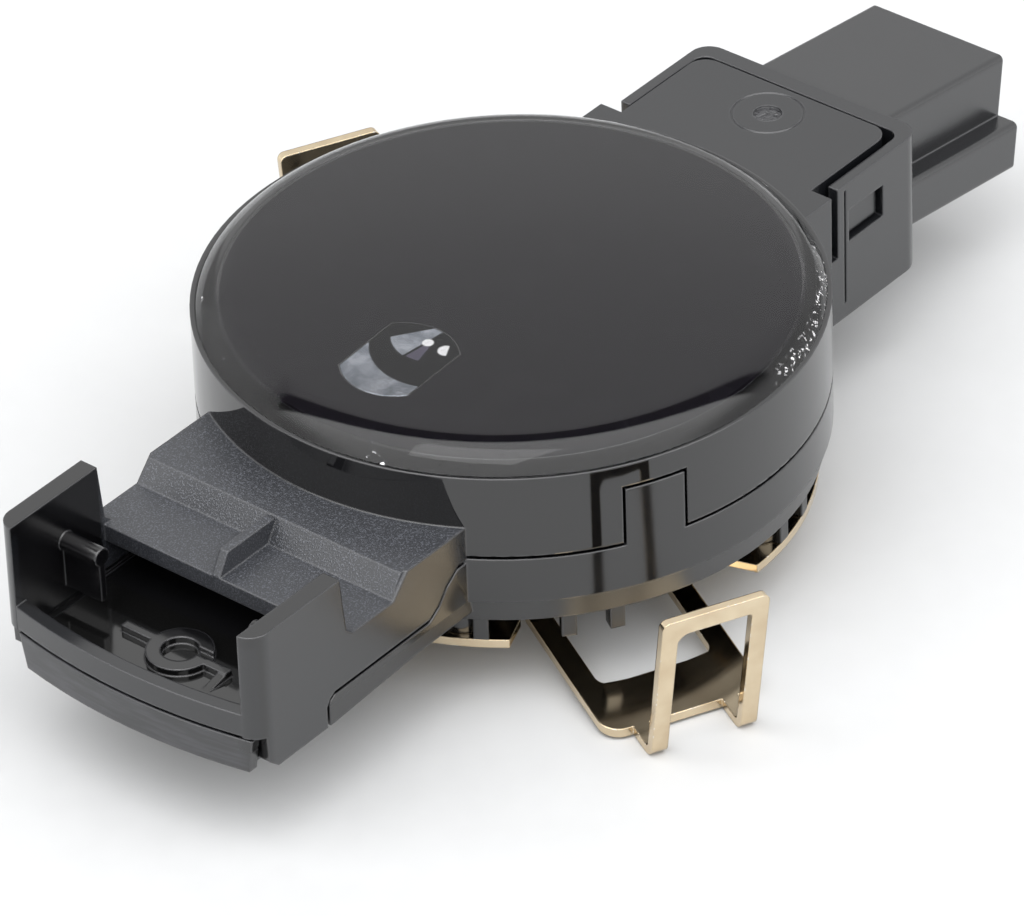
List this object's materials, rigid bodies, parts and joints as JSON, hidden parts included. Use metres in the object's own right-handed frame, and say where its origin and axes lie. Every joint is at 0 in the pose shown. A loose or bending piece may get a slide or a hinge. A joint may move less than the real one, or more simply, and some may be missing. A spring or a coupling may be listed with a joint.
{
  "type": "windscreen rain and light sensor",
  "caption": "Round windscreen rain and light sensor with a clear silicone coupling pad, an open side bay, a plug shroud and spring clips.",
  "frame": {"origin": "on the axis of the round head, at the seam where the coupling pad meets the housing", "axes": "+X towards the plug, -X towards the open bay, +Y to the left seen from the bay, +Z out of the coupling pad towards the glass"},
  "size_m": [0.0829, 0.0556, 0.0201],
  "materials": {
    "silicone_pad": "glossy clear-grey silicone",
    "infrared_window": "polished, opaque to visible light",
    "clear_lens": "clear, polished",
    "gloss_black": "polished ring, spark-eroded shelf",
    "satin_black": "satin",
    "frame_black": "matte",
    "board_green": "solder mask",
    "led_clear": "clear epoxy",
    "receiver_dark": "dark epoxy",
    "sensor_body": "matte",
    "chip_black": "moulded epoxy",
    "chip_ceramic": "fired ceramic",
    "ferrite": "ground ferrite",
    "tinned_brass": "tinned, drawn",
    "spring_bronze": "bare spring bronze"
  },
  "bodies": {
    "housing": {"coupling_pad": "silicone_pad", "optic_plate": "infrared_window", "daylight_lens": "clear_lens", "upper_housing": "gloss_black", "aperture_frame": "frame_black", "circuit_board": "board_green", "emitter_a": "led_clear", "emitter_b": "led_clear", "receiver_a": "receiver_dark", "receiver_b": "receiver_dark", "daylight_sensor": "sensor_body", "controller_chip": "chip_black", "bus_chip": "chip_black", "capacitor_a": "chip_ceramic", "capacitor_b": "chip_ceramic", "inductor": "ferrite", "pin_a": "tinned_brass", "pin_b": "tinned_brass", "pin_c": "tinned_brass", "lower_housing": "satin_black", "spring_plate": "spring_bronze"},
    "clip_front": {"clip_front": "spring_bronze"},
    "clip_rear": {"clip_rear": "spring_bronze"}
  },
  "joints": [
    {"name": "clip_front_flex", "type": "hinge", "parent": "housing", "child": "clip_front", "pos_m": [-0.00394, -0.00809, -0.01315], "axis": [-0.8988, 0.4384, 0], "range_deg": [-3, 10], "stiffness_Nm_per_rad": 1.4},
    {"name": "clip_rear_flex", "type": "hinge", "parent": "housing", "child": "clip_rear", "pos_m": [0.00394, 0.00809, -0.01315], "axis": [0.8988, -0.4384, 0], "range_deg": [-3, 10], "stiffness_Nm_per_rad": 1.4}
  ]
}
